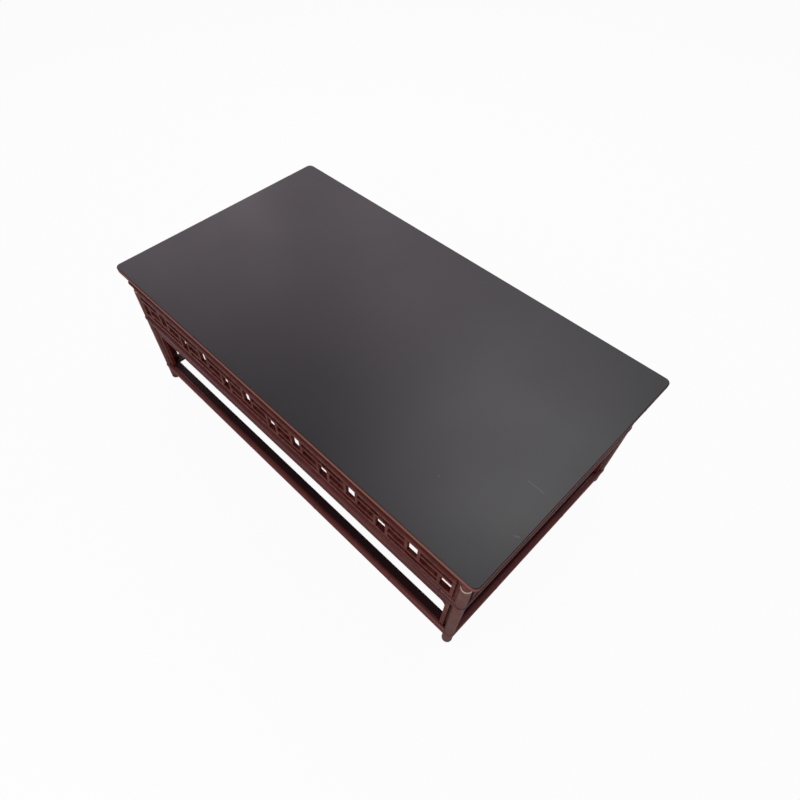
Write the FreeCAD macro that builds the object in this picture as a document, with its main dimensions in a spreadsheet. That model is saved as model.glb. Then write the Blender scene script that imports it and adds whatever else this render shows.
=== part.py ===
"""Low table for use on a heated platform (a kang table), in round bamboo-like members.

A flat lacquered top on a mitred frame stands on four round legs with slimmer necks. Round rails
run between the legs at three levels: straight ones under the top, and at middle height and just
above the floor ones whose ends wrap the outside of the legs. Between the upper two levels each
side holds a lattice of short bars; under the middle rail each side has a slim apron strip with
two side strips; inside the lowest rails lies a frame of flat boards.

The origin is on the floor under the middle of the table. X runs along the length, Y from the
front to the back, Z upwards. Each side is modelled as if it were the front one and is then
turned about the Z axis to its place.
"""
import FreeCAD, Part
import os

import Sketcher

doc = FreeCAD.newDocument("kang_table")

# Driving sizes in millimetres: word, value, meaning
SIZES = [
    ("top_length", 1000, "length of the top"),
    ("top_width", 556, "width of the top"),
    ("table_height", 356, "height of the top's upper face above the floor"),
    ("top_thickness", 18.6, "thickness of the top's frame"),
    ("arris_round", 2, "rounding of the top's upper edge"),
    ("bead_round", 10, "rounding of the top's lower edge"),
    ("corner_radius", 12, "radius of the top's corners"),
    ("frame_width", 70, "width of the top's frame members"),
    ("panel_thickness", 12, "thickness of the panel, flush with the frame"),
    ("tongue_depth", 6, "reach of the panel's tongue into the frame"),
    ("tongue_thickness", 4, "thickness of the tongue"),
    ("tongue_drop", 5, "depth of the tongue's upper face under the top's upper face"),
    ("batten_width", 40, "width of a batten under the panel"),
    ("batten_height", 14, "height of a batten"),
    ("batten_lap", 15, "reach of a batten's end into the frame"),
    ("leg_diameter", 21, "diameter of a leg"),
    ("leg_end_inset", 23, "distance of a leg's axis from the top's ends"),
    ("leg_side_inset", 20, "distance of a leg's axis from the top's long sides"),
    ("neck_step", 1.5, "how much slimmer, all round, a leg is above the lattices' windows"),
    ("foot_round", 3, "rounding of a leg's lower end"),
    ("tenon_diameter", 10, "diameter of a leg's tenon"),
    ("tenon_length", 10, "length of a leg's tenon"),
    ("rail_diameter", 18, "diameter of the round rails"),
    ("rail_proud", 1.5, "how far the middle and lowest rails stand outside the legs"),
    ("edge_rail_setback", 2, "how far the edge rails lie behind the top's edge"),
    ("edge_rail_stop", 12, "how far the edge rails' ends stop short of the legs' axes"),
    ("base_rail_height", 46, "height of the lowest rails' centre line"),
    ("board_reach", 16.5, "reach of the base boards inside the legs' axes"),
    ("board_thickness", 5, "thickness of the base boards"),
    ("board_rise", 8.7, "height of the base boards' upper face above the lowest rails' centre line"),
    ("fret_setback", 0.5, "how far the lattice's face lies behind the legs' face"),
    ("fret_gap", 3.5, "gap between a lattice panel and a leg"),
    ("fret_top_height", 26.4, "height of a lattice's top rail, below the edge rails"),
    ("fret_bottom_height", 20, "height of a lattice's bottom rail, above the middle rails"),
    ("fret_frame_depth", 10, "depth of a lattice's frame, front to back"),
    ("fret_bead", 9.5, "height of the raised bead along a lattice's rails"),
    ("fret_step", 4, "setback of a lattice's rails behind their bead"),
    ("stile_width", 7, "width of a lattice's end stile"),
    ("post_width", 7, "width of a lattice's short posts"),
    ("bar_height", 7.5, "height of a lattice's bars"),
    ("bar_depth", 7, "depth of a lattice's bars and posts, front to back"),
    ("slot_height", 10, "height of the slots above and below the bars"),
    ("bar_space", 17, "height of the space between the upper and the lower bars"),
    ("window_width", 22, "width of a lattice's window between its two posts"),
    ("apron_height", 36, "height of the apron strip, below the middle rails"),
    ("apron_thickness", 8, "thickness of the apron and side strips"),
    ("apron_setback", 6.5, "how far the apron's face lies behind the legs' face"),
    ("apron_round", 12, "radius of the rounded corner between apron and side strip"),
    ("strip_width", 9, "width of a side strip"),
    ("strip_gap", 4.5, "gap between a side strip and a leg"),
    ("strip_step", 4, "setback of the thinner part that closes this gap from behind"),
    ("joint_clearance", 0.1, "clearance where a piece is shaped to fit another"),
]

BATTEN_PLACE_SHARES = (-0.5, 0.0, 0.5)
FRONT_PITCH_COUNT = 6
END_PITCH_COUNT = 3
RIGHT_ANGLE = 90
MITRE_ANGLE = 45
# how near two heights must be to count as the same
TOUCH = 0.001

sheet = doc.addObject("Spreadsheet::Sheet", "Sizes")
for row, (word, value, meaning) in enumerate(SIZES, start=1):
    sheet.set(f"A{row}", meaning)
    sheet.set(f"B{row}", str(value))
    sheet.setAlias(f"B{row}", word)
doc.recompute()

# Places that follow from the driving sizes, as expressions
HALF_LENGTH = "(Sizes.top_length / 2)"
HALF_WIDTH = "(Sizes.top_width / 2)"
CORNER_X = f"({HALF_LENGTH} - Sizes.corner_radius)"
CORNER_Y = f"({HALF_WIDTH} - Sizes.corner_radius)"
LEG_X = f"({HALF_LENGTH} - Sizes.leg_end_inset)"
LEG_Y = f"({HALF_WIDTH} - Sizes.leg_side_inset)"
LEG_RADIUS = "(Sizes.leg_diameter / 2)"
LEG_CUT_RADIUS = f"({LEG_RADIUS} + Sizes.joint_clearance)"
NECK_RADIUS = f"({LEG_RADIUS} - Sizes.neck_step)"
NECK_CUT_RADIUS = f"({NECK_RADIUS} + Sizes.joint_clearance)"
RAIL_RADIUS = "(Sizes.rail_diameter / 2)"
RAIL_CUT_RADIUS = f"({RAIL_RADIUS} + Sizes.joint_clearance)"
TOP_UNDERSIDE = "(Sizes.table_height - Sizes.top_thickness)"
PANEL_UNDERSIDE = "(Sizes.table_height - Sizes.panel_thickness)"
OPENING_X = f"({HALF_LENGTH} - Sizes.frame_width)"
OPENING_Y = f"({HALF_WIDTH} - Sizes.frame_width)"
# a middle or lowest rail's centre line, outside the axis of the legs
RAIL_OUT = f"({LEG_RADIUS} + Sizes.rail_proud - {RAIL_RADIUS})"
EDGE_RAIL_HEIGHT = f"({TOP_UNDERSIDE} - {RAIL_RADIUS})"
BOARD_TOP = "(Sizes.base_rail_height + Sizes.board_rise)"
# the lattices' levels, from the top down
FRET_HIGH = f"({EDGE_RAIL_HEIGHT} - {RAIL_RADIUS} - Sizes.fret_top_height)"
UPPER_BAR_TOP = f"({FRET_HIGH} - Sizes.slot_height)"
UPPER_BAR_LOW = f"({UPPER_BAR_TOP} - Sizes.bar_height)"
LOWER_BAR_TOP = f"({UPPER_BAR_LOW} - Sizes.bar_space)"
LOWER_BAR_LOW = f"({LOWER_BAR_TOP} - Sizes.bar_height)"
FRET_LOW = f"({LOWER_BAR_LOW} - Sizes.slot_height)"
MID_RAIL_HEIGHT = f"({FRET_LOW} - Sizes.fret_bottom_height - {RAIL_RADIUS})"
APRON_LOW = f"({MID_RAIL_HEIGHT} - {RAIL_RADIUS} - Sizes.apron_height)"

# side: turn about Z, half its span between the legs' axes, distance of those axes from the middle, pitches
SIDES = {
    "front": (0, LEG_X, LEG_Y, FRONT_PITCH_COUNT),
    "right": (RIGHT_ANGLE, LEG_Y, LEG_X, END_PITCH_COUNT),
    "back": (2 * RIGHT_ANGLE, LEG_X, LEG_Y, FRONT_PITCH_COUNT),
    "left": (3 * RIGHT_ANGLE, LEG_Y, LEG_X, END_PITCH_COUNT),
}

# an edge rail's centre line, outside the axis of the legs; these rails follow the top's edges
LONG_EDGE_OUT = f"(Sizes.leg_side_inset - Sizes.edge_rail_setback - {RAIL_RADIUS})"
SHORT_EDGE_OUT = f"(Sizes.leg_end_inset - Sizes.edge_rail_setback - {RAIL_RADIUS})"
EDGE_RAIL_OUTS = {
    "front": LONG_EDGE_OUT,
    "right": SHORT_EDGE_OUT,
    "back": LONG_EDGE_OUT,
    "left": SHORT_EDGE_OUT,
}

Z_AXIS = FreeCAD.Vector(0, 0, 1)
Y_AXIS = FreeCAD.Vector(0, 1, 0)
X_AXIS = FreeCAD.Vector(1, 0, 0)
ORIGIN = FreeCAD.Vector(0, 0, 0)
UPRIGHT = FreeCAD.Rotation()
ALONG_X = FreeCAD.Rotation(Y_AXIS, RIGHT_ANGLE)

nodes = []


def number(expression):
    """The present value of an expression, used as a sketch's first guess and for checks."""
    return float(sheet.evalExpression(expression))


def place(piece, x, y, z, turn=UPRIGHT):
    piece.Placement = FreeCAD.Placement(ORIGIN, turn)
    piece.setExpression("Placement.Base.x", x)
    piece.setExpression("Placement.Base.y", y)
    piece.setExpression("Placement.Base.z", z)


def box(name, low, high):
    """A box between two corners, each three expressions."""
    piece = doc.addObject("Part::Box", name)
    piece.setExpression("Length", f"{high[0]} - ({low[0]})")
    piece.setExpression("Width", f"{high[1]} - ({low[1]})")
    piece.setExpression("Height", f"{high[2]} - ({low[2]})")
    place(piece, *low)
    return piece


def rod(name, radius, length, start, turn=UPRIGHT):
    piece = doc.addObject("Part::Cylinder", name)
    piece.setExpression("Radius", radius)
    piece.setExpression("Height", length)
    place(piece, *start, turn)
    return piece


def mitred_board(name, outer_x, outer_y, inner_x, inner_y, low, high):
    """A front board between y = -outer_y and y = -inner_y whose ends run along the mitre lines."""
    piece = doc.addObject("Part::Wedge", name)
    piece.setExpression("Xmin", f"-({outer_x})")
    piece.setExpression("Xmax", outer_x)
    piece.setExpression("X2min", f"-({inner_x})")
    piece.setExpression("X2max", inner_x)
    piece.setExpression("Ymin", f"-({outer_y})")
    piece.setExpression("Ymax", f"-({inner_y})")
    piece.setExpression("Zmin", low)
    piece.setExpression("Zmax", high)
    piece.setExpression("Z2min", low)
    piece.setExpression("Z2max", high)
    return piece


def joined(name, pieces):
    result = doc.addObject("Part::MultiFuse", name)
    result.Shapes = pieces
    return result


def shared(name, first, second):
    result = doc.addObject("Part::Common", name)
    result.Base = first
    result.Tool = second
    return result


def trimmed(name, base, tools):
    """The base with the tools' volume taken away."""
    result = doc.addObject("Part::Cut", name)
    result.Base = base
    result.Tool = joined(f"{name}_tools", tools) if len(tools) > 1 else tools[0]
    return result


def grouped(name, pieces):
    result = doc.addObject("Part::Compound", name)
    result.Links = pieces
    return result


def finish(piece, label, angle=0):
    """Name a finished piece and turn it from the front to its own side."""
    piece.Label = label
    piece.Placement = FreeCAD.Placement(ORIGIN, FreeCAD.Rotation(Z_AXIS, angle))
    nodes.append(piece)


def outline(sketch, corners, arcs):
    """A closed outline through corners given as expression pairs.

    The corners go anticlockwise. arcs holds, for the number of the corner that an arc starts
    from, its radius, the two expressions of its centre and whether it bulges out of the outline
    or hollows it. All other stretches are straight.
    """
    count = len(corners)
    points = [FreeCAD.Vector(number(x), number(y), 0) for x, y in corners]
    end_numbers = {end: end_number for end_number, end in enumerate(("first", "last"), start=1)}
    starts, ends = {}, {}
    for index, point in enumerate(points):
        following = points[(index + 1) % count]
        if index in arcs:
            radius, centre_x, centre_y, bulges = arcs[index]
            centre = FreeCAD.Vector(number(centre_x), number(centre_y), 0)
            circle = Part.Circle(centre, Z_AXIS, number(radius))
            ends_of_arc = (point, following) if bulges else (following, point)
            first, last = [circle.parameter(end_of_arc) for end_of_arc in ends_of_arc]
            geometry = sketch.addGeometry(Part.ArcOfCircle(circle, first, last), False)
            sketch.addConstraint(Sketcher.Constraint("Radius", geometry, number(radius)))
            sketch.setExpression(f"Constraints[{sketch.ConstraintCount - 1}]", radius)
        else:
            bulges = True
            geometry = sketch.addGeometry(Part.LineSegment(point, following), False)
        starts[index] = (geometry, end_numbers["first" if bulges else "last"])
        ends[index] = (geometry, end_numbers["last" if bulges else "first"])
    for index, corner in enumerate(corners):
        sketch.addConstraint(Sketcher.Constraint("Coincident", *ends[(index - 1) % count], *starts[index]))
        for kind, axis, expression in (("DistanceX", -2, corner[0]), ("DistanceY", -1, corner[1])):
            if expression == "0":
                sketch.addConstraint(Sketcher.Constraint("PointOnObject", *starts[index], axis))
                continue
            sketch.addConstraint(Sketcher.Constraint(kind, -1, 1, *starts[index], number(expression)))
            sketch.setExpression(f"Constraints[{sketch.ConstraintCount - 1}]", expression)


def body_with_outline(label, plane_role, corners, arcs):
    """A body with one sketch on an origin plane of its own."""
    body = doc.addObject("PartDesign::Body", label)
    plane = [item for item in body.Origin.OriginFeatures if item.Role == plane_role][0]
    sketch = body.newObject("Sketcher::SketchObject", f"{label}_outline")
    sketch.AttachmentSupport = [(plane, "")]
    sketch.MapMode = "FlatFace"
    outline(sketch, corners, arcs)
    doc.recompute()
    return body, sketch


def rail_rod(name, side, out, height, radius):
    """The straight stretch of a rail, or the round groove that a neighbour needs to fit it."""
    angle, span, distance, pitches = SIDES[side]
    start = (f"-{span}", f"-({distance} + {out})", height)
    return rod(name, radius, f"2 * {span}", start, ALONG_X)


def leg_cutters(name, side, radius=LEG_CUT_RADIUS):
    """The two legs of a side, with the fitting clearance, to cut their seats in a neighbour."""
    angle, span, distance, pitches = SIDES[side]
    cutters = []
    for sign, end in (("-", "left"), ("", "right")):
        start = (f"{sign}{span}", f"-{distance}", "0")
        cutters.append(rod(f"{name}_{end}_seat", radius, "Sizes.table_height", start))
    return cutters


def wrap_section(name, out):
    """Half section of a rail where it turns round a leg, on the XZ plane, with the leg's axis as Z.

    It starts inside the leg, halfway between the leg's surface and the rail's inner side or, where
    the rail reaches over the leg's axis, that axis.
    """
    core = f"((max(0; {out} - {RAIL_RADIUS}) + {LEG_RADIUS}) / 2)"
    rise = f"sqrt({RAIL_RADIUS} ^ 2 - ({core} - {out}) ^ 2)"
    sketch = doc.addObject("Sketcher::SketchObject", name)
    sketch.Placement = FreeCAD.Placement(ORIGIN, FreeCAD.Rotation(X_AXIS, RIGHT_ANGLE))
    outline(sketch, [(core, f"-{rise}"), (core, rise)], {0: (RAIL_RADIUS, out, "0", True)})
    doc.recompute()
    return sketch


def wrapping_rail(label, side, section, height):
    """A round rail along one side whose ends turn round the legs up to the mitre."""
    angle, span, distance, pitches = SIDES[side]
    pieces = [rail_rod(f"{label}_bar", side, RAIL_OUT, height, RAIL_RADIUS)]
    for sign, end, first_angle in (("", "right", -RIGHT_ANGLE), ("-", "left", -RIGHT_ANGLE - MITRE_ANGLE)):
        wrap = doc.addObject("Part::Revolution", f"{label}_{end}_wrap")
        wrap.Source = section
        wrap.Axis = Z_AXIS
        wrap.Base = ORIGIN
        wrap.Angle = MITRE_ANGLE
        wrap.Solid = True
        place(wrap, f"{sign}{span}", f"-{distance}", height, FreeCAD.Rotation(Z_AXIS, first_angle))
        pieces.append(wrap)
    blank = joined(f"{label}_blank", pieces)
    rail = trimmed(label, blank, leg_cutters(label, side))
    finish(rail, label, angle)


def edge_rail(label, side):
    """A straight round rail under the top's edge, ending beside the necks of two legs."""
    angle, span, distance, pitches = SIDES[side]
    reach = f"({span} - Sizes.edge_rail_stop)"
    start = (f"-{reach}", f"-({distance} + {EDGE_RAIL_OUTS[side]})", EDGE_RAIL_HEIGHT)
    bar = rod(f"{label}_bar", RAIL_RADIUS, f"2 * {reach}", start, ALONG_X)
    rail = trimmed(label, bar, leg_cutters(label, side, NECK_CUT_RADIUS))
    finish(rail, label, angle)


def make_legs():
    """Round legs with a rounded foot, a neck, and a round tenon that enters the top's frame."""
    tenon_radius = "(Sizes.tenon_diameter / 2)"
    foot_radius = f"({LEG_RADIUS} - Sizes.foot_round)"
    tenon_top = f"({TOP_UNDERSIDE} + Sizes.tenon_length)"
    corners = [
        ("0", "0"),
        (foot_radius, "0"),
        (LEG_RADIUS, "Sizes.foot_round"),
        (LEG_RADIUS, FRET_HIGH),
        (NECK_RADIUS, FRET_HIGH),
        (NECK_RADIUS, TOP_UNDERSIDE),
        (tenon_radius, TOP_UNDERSIDE),
        (tenon_radius, tenon_top),
        ("0", tenon_top),
    ]
    arcs = {1: ("Sizes.foot_round", foot_radius, "Sizes.foot_round", True)}
    for depth_name, y in (("front", f"-{LEG_Y}"), ("back", LEG_Y)):
        for side_name, x in (("left", f"-{LEG_X}"), ("right", LEG_X)):
            label = f"leg_{depth_name}_{side_name}"
            body, sketch = body_with_outline(label, "XZ_Plane", corners, arcs)
            turned = body.newObject("PartDesign::Revolution", f"{label}_turned")
            turned.Profile = sketch
            turned.ReferenceAxis = (sketch, ["V_Axis"])
            turned.Angle = 4 * RIGHT_ANGLE
            body.Tip = turned
            body.Label = label
            place(body, x, y, "0")
            nodes.append(body)


def make_top():
    """Mitred frame with rounded corners, floating panel in its groove, and battens below."""
    low, high = TOP_UNDERSIDE, "Sizes.table_height"
    corners = [
        (f"-{CORNER_X}", f"-{HALF_WIDTH}"),
        (CORNER_X, f"-{HALF_WIDTH}"),
        (HALF_LENGTH, f"-{CORNER_Y}"),
        (HALF_LENGTH, CORNER_Y),
        (CORNER_X, HALF_WIDTH),
        (f"-{CORNER_X}", HALF_WIDTH),
        (f"-{HALF_LENGTH}", CORNER_Y),
        (f"-{HALF_LENGTH}", f"-{CORNER_Y}"),
    ]
    arcs = {
        1: ("Sizes.corner_radius", CORNER_X, f"-{CORNER_Y}", True),
        3: ("Sizes.corner_radius", CORNER_X, CORNER_Y, True),
        5: ("Sizes.corner_radius", f"-{CORNER_X}", CORNER_Y, True),
        7: ("Sizes.corner_radius", f"-{CORNER_X}", f"-{CORNER_Y}", True),
    }
    slab, sketch = body_with_outline("slab", "XY_Plane", corners, arcs)
    feature = slab.newObject("PartDesign::Pad", "slab_pad")
    feature.Profile = sketch
    feature.setExpression("Length", "Sizes.top_thickness")
    doc.recompute()
    for name, radius, level in (
        ("upper_round", "Sizes.arris_round", "Sizes.top_thickness"),
        ("lower_round", "Sizes.bead_round", "0"),
    ):
        rim = []
        for index, edge in enumerate(feature.Shape.Edges, start=1):
            if edge.BoundBox.ZLength < TOUCH and abs(edge.CenterOfMass.z - number(level)) < TOUCH:
                rim.append(f"Edge{index}")
        rounding = slab.newObject("PartDesign::Fillet", name)
        rounding.Base = (feature, rim)
        rounding.setExpression("Radius", radius)
        doc.recompute()
        feature = rounding
    slab.Tip = feature
    place(slab, "0", "0", low)

    tongue_top = "(Sizes.table_height - Sizes.tongue_drop)"
    tongue_low = f"({tongue_top} - Sizes.tongue_thickness)"
    groove_x = f"({OPENING_X} + Sizes.tongue_depth + Sizes.joint_clearance)"
    groove_y = f"({OPENING_Y} + Sizes.tongue_depth + Sizes.joint_clearance)"
    groove_top = f"({tongue_top} + Sizes.joint_clearance)"
    batten_half = "(Sizes.batten_width / 2)"
    batten_reach = f"({OPENING_Y} + Sizes.batten_lap)"
    tenon_cut_radius = "(Sizes.tenon_diameter / 2 + Sizes.joint_clearance)"
    tenon_cut_length = "(Sizes.tenon_length + Sizes.joint_clearance)"

    groove_corner = (f"-{groove_x}", f"-{groove_y}", tongue_low)
    tools = [box("panel_groove", groove_corner, (groove_x, groove_y, groove_top))]
    for number_of_batten, share in enumerate(BATTEN_PLACE_SHARES, start=1):
        middle = f"({share} * {OPENING_X})"
        notch = box(
            f"batten_notch_{number_of_batten}",
            (f"{middle} - {batten_half}", f"-{batten_reach}", low),
            (f"{middle} + {batten_half}", batten_reach, PANEL_UNDERSIDE),
        )
        tools.append(notch)
    for x_name, x in (("left", f"-{LEG_X}"), ("right", LEG_X)):
        for y_name, y in (("front", f"-{LEG_Y}"), ("back", LEG_Y)):
            hole = rod(f"mortise_{y_name}_{x_name}", tenon_cut_radius, tenon_cut_length, (x, y, low))
            tools.append(hole)
    worked_slab = trimmed("worked_slab", slab, tools)

    for side, half_x, half_y in (
        ("front", HALF_LENGTH, HALF_WIDTH),
        ("right", HALF_WIDTH, HALF_LENGTH),
        ("back", HALF_LENGTH, HALF_WIDTH),
        ("left", HALF_WIDTH, HALF_LENGTH),
    ):
        label = f"top_frame_{side}"
        inner_x = f"({half_x} - Sizes.frame_width)"
        inner_y = f"({half_y} - Sizes.frame_width)"
        region = mitred_board(f"{label}_region", half_x, half_y, inner_x, inner_y, low, high)
        region.Placement = FreeCAD.Placement(ORIGIN, FreeCAD.Rotation(Z_AXIS, SIDES[side][0]))
        member = shared(label, worked_slab, region)
        finish(member, label)

    face_corner = (f"-{OPENING_X}", f"-{OPENING_Y}", PANEL_UNDERSIDE)
    face = box("panel_face", face_corner, (OPENING_X, OPENING_Y, high))
    tongue_x = f"({OPENING_X} + Sizes.tongue_depth)"
    tongue_y = f"({OPENING_Y} + Sizes.tongue_depth)"
    tongue_corner = (f"-{tongue_x}", f"-{tongue_y}", tongue_low)
    tongue = box("panel_tongue", tongue_corner, (tongue_x, tongue_y, tongue_top))
    finish(joined("top_panel", [face, tongue]), "top_panel")

    batten_low = f"({PANEL_UNDERSIDE} - Sizes.batten_height)"
    for name, share in zip(("left", "middle", "right"), BATTEN_PLACE_SHARES):
        label = f"batten_{name}"
        middle = f"({share} * {OPENING_X})"
        left, right = f"({middle} - {batten_half})", f"({middle} + {batten_half})"
        beam = box(f"{label}_beam", (left, f"-{OPENING_Y}", batten_low), (right, OPENING_Y, PANEL_UNDERSIDE))
        lap = box(f"{label}_lap", (left, f"-{batten_reach}", low), (right, batten_reach, PANEL_UNDERSIDE))
        finish(joined(label, [beam, lap]), label)


def make_rails():
    """Three levels of rails. The lower two meet in mitres at the legs' outer corners."""
    section = wrap_section("rail_wrap_section", RAIL_OUT)
    for side in SIDES:
        edge_rail(f"edge_rail_{side}", side)
        wrapping_rail(f"mid_rail_{side}", side, section, MID_RAIL_HEIGHT)
        wrapping_rail(f"base_rail_{side}", side, section, "Sizes.base_rail_height")


def make_base_boards():
    """Flat boards laid against the lowest rails, mitred with each other and notched round the legs."""
    for side, (angle, span, distance, pitches) in SIDES.items():
        label = f"base_board_{side}"
        blank = mitred_board(
            f"{label}_blank",
            f"({span} + {RAIL_OUT})",
            f"({distance} + {RAIL_OUT})",
            f"({span} - Sizes.board_reach)",
            f"({distance} - Sizes.board_reach)",
            f"({BOARD_TOP} - Sizes.board_thickness)",
            BOARD_TOP,
        )
        groove = rail_rod(f"{label}_groove", side, RAIL_OUT, "Sizes.base_rail_height", RAIL_CUT_RADIUS)
        board = trimmed(label, blank, [groove] + leg_cutters(label, side))
        finish(board, label, angle)


def make_lattice(side):
    """One side's lattice: stepped rails, end stiles, running bars, and posts beside each window.

    The rails and stiles reach the legs with the thinner part behind their raised bead.

    Windows alternate at half a pitch: one runs from the top rail down to the lower bar, the next
    from the upper bar down to the bottom rail. Each bar stops at the posts of the other's windows.
    """
    angle, span, distance, pitches = SIDES[side]
    label = f"fret_{side}"
    face = f"-({distance} + {LEG_RADIUS} - Sizes.fret_setback)"
    step = f"({face} + Sizes.fret_step)"
    back = f"({face} + Sizes.fret_frame_depth)"
    bar_back = f"({face} + Sizes.bar_depth)"
    outer = f"({span} - {LEG_RADIUS} - Sizes.fret_gap)"
    inner = f"({outer} - Sizes.stile_width)"
    half_window = "(Sizes.window_width / 2)"
    pitch = f"((2 * {inner} - Sizes.window_width) / {pitches})"
    post_reach = f"({half_window} + Sizes.post_width)"

    bead_low = f"({FRET_LOW} - Sizes.fret_bead)"
    web = box(f"{label}_bottom_web", (f"-{span}", step, MID_RAIL_HEIGHT), (span, back, FRET_LOW))
    bead = box(f"{label}_bottom_bead", (f"-{outer}", face, bead_low), (outer, step, FRET_LOW))
    blank = joined(f"{label}_bottom_blank", [web, bead])
    groove = rail_rod(f"{label}_bottom_groove", side, RAIL_OUT, MID_RAIL_HEIGHT, RAIL_CUT_RADIUS)
    tools = [groove] + leg_cutters(f"{label}_bottom", side)
    finish(trimmed(f"{label}_bottom_rail", blank, tools), f"{label}_bottom_rail", angle)

    bead_top = f"({FRET_HIGH} + Sizes.fret_bead)"
    web_top = f"({EDGE_RAIL_HEIGHT} - {RAIL_RADIUS} / 2)"
    web = box(f"{label}_top_web", (f"-{span}", step, FRET_HIGH), (span, back, web_top))
    bead = box(f"{label}_top_bead", (f"-{outer}", face, FRET_HIGH), (outer, step, bead_top))
    blank = joined(f"{label}_top_blank", [web, bead])
    edge_out = EDGE_RAIL_OUTS[side]
    groove = rail_rod(f"{label}_top_groove", side, edge_out, EDGE_RAIL_HEIGHT, RAIL_CUT_RADIUS)
    tools = [groove] + leg_cutters(f"{label}_top", side, NECK_CUT_RADIUS)
    finish(trimmed(f"{label}_top_rail", blank, tools), f"{label}_top_rail", angle)

    uprights = []
    for end, low_x, high_x, leg_x, inner_x in (
        ("left", f"-{outer}", f"-{inner}", f"-{span}", f"-{inner}"),
        ("right", inner, outer, inner, span),
    ):
        name = f"{label}_{end}_stile"
        bead = box(f"{name}_bead", (low_x, face, FRET_LOW), (high_x, back, FRET_HIGH))
        tongue = box(f"{name}_tongue", (leg_x, step, FRET_LOW), (inner_x, back, FRET_HIGH))
        uprights.append(trimmed(name, joined(f"{name}_blank", [bead, tongue]), leg_cutters(name, side)))
    lower_windows = [index - pitches / 2 for index in range(pitches + 1)]
    upper_windows = [place_share + 1 / 2 for place_share in lower_windows[:-1]]
    for level, windows, low, high in (
        ("upper", upper_windows, LOWER_BAR_TOP, FRET_HIGH),
        ("lower", lower_windows, FRET_LOW, UPPER_BAR_LOW),
    ):
        for window_number, pitches_away in enumerate(windows, start=1):
            middle = f"({pitches_away} * {pitch})"
            left = (f"({middle} - {post_reach})", f"({middle} - {half_window})")
            right = (f"({middle} + {half_window})", f"({middle} + {post_reach})")
            # the outermost lower windows have the stile in place of their outer post
            posts = {"left": left, "right": right}
            if level == "lower" and window_number == 1:
                del posts["left"]
            if level == "lower" and window_number == len(windows):
                del posts["right"]
            for end, (low_x, high_x) in posts.items():
                name = f"{label}_{level}_{end}_post_{window_number}"
                uprights.append(box(name, (low_x, face, low), (high_x, bar_back, high)))
    finish(grouped(f"{label}_uprights", uprights), f"{label}_uprights", angle)

    bars = []
    upper_stops = [f"-{inner}"]
    for pitches_away in upper_windows:
        upper_stops.append(f"({pitches_away} * {pitch} - {post_reach})")
        upper_stops.append(f"({pitches_away} * {pitch} + {post_reach})")
    upper_stops.append(inner)
    lower_stops = []
    for pitches_away in lower_windows:
        lower_stops.append(f"({pitches_away} * {pitch} - {post_reach})")
        lower_stops.append(f"({pitches_away} * {pitch} + {post_reach})")
    lower_stops = lower_stops[1:-1]
    for level, stops, low, high in (
        ("upper", upper_stops, UPPER_BAR_LOW, UPPER_BAR_TOP),
        ("lower", lower_stops, LOWER_BAR_LOW, LOWER_BAR_TOP),
    ):
        for bar_number, (start, stop) in enumerate(zip(stops[0::2], stops[1::2]), start=1):
            bars.append(box(f"{label}_{level}_bar_{bar_number}", (start, face, low), (stop, bar_back, high)))
    finish(grouped(f"{label}_bars", bars), f"{label}_bars", angle)


def make_aprons(side):
    """Slim strip under the middle rail with rounded lower corners, and a strip beside each leg.

    The apron's ends and the side strips reach the legs with a thinner part behind their face.
    """
    angle, span, distance, pitches = SIDES[side]
    label = f"apron_{side}"
    outer = f"({span} - {LEG_RADIUS} - Sizes.strip_gap)"
    inner = f"({outer} - Sizes.strip_width)"
    straight = f"({inner} - Sizes.apron_round)"
    ear_low = f"({APRON_LOW} - Sizes.apron_round)"
    centre = f"({distance} + {LEG_RADIUS} - Sizes.apron_setback - Sizes.apron_thickness / 2)"
    front = f"-({centre} + Sizes.apron_thickness / 2)"
    step = f"({front} + Sizes.strip_step)"
    back = f"-({centre} - Sizes.apron_thickness / 2)"
    corners = [
        (f"-{outer}", MID_RAIL_HEIGHT),
        (f"-{outer}", ear_low),
        (f"-{inner}", ear_low),
        (f"-{straight}", APRON_LOW),
        (straight, APRON_LOW),
        (inner, ear_low),
        (outer, ear_low),
        (outer, MID_RAIL_HEIGHT),
    ]
    arcs = {
        2: ("Sizes.apron_round", f"-{straight}", ear_low, False),
        4: ("Sizes.apron_round", straight, ear_low, False),
    }
    body, sketch = body_with_outline(f"{label}_blank", "XZ_Plane", corners, arcs)
    pad = body.newObject("PartDesign::Pad", f"{label}_pad")
    pad.Profile = sketch
    pad.setExpression("Length", "Sizes.apron_thickness")
    pad.Midplane = True
    body.Tip = pad
    place(body, "0", f"-{centre}", "0")
    pieces = [body]
    for end, low_x, high_x in (("left", f"-{span}", f"-{inner}"), ("right", inner, span)):
        pieces.append(box(f"{label}_{end}_tongue", (low_x, step, ear_low), (high_x, back, MID_RAIL_HEIGHT)))
    groove = rail_rod(f"{label}_groove", side, RAIL_OUT, MID_RAIL_HEIGHT, RAIL_CUT_RADIUS)
    tools = [groove] + leg_cutters(label, side)
    finish(trimmed(label, joined(f"{label}_joined", pieces), tools), label, angle)

    for end, low_x, high_x, tongue_low_x, tongue_high_x in (
        ("left", f"-{outer}", f"-{inner}", f"-{span}", f"-{inner}"),
        ("right", inner, outer, inner, span),
    ):
        name = f"{label}_{end}_strip"
        strip = box(f"{name}_face", (low_x, front, BOARD_TOP), (high_x, back, ear_low))
        tongue = box(f"{name}_tongue", (tongue_low_x, step, BOARD_TOP), (tongue_high_x, back, ear_low))
        groove = rail_rod(f"{name}_groove", side, RAIL_OUT, "Sizes.base_rail_height", RAIL_CUT_RADIUS)
        tools = [groove] + leg_cutters(name, side)
        finish(trimmed(name, joined(f"{name}_blank", [strip, tongue]), tools), name, angle)


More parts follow.
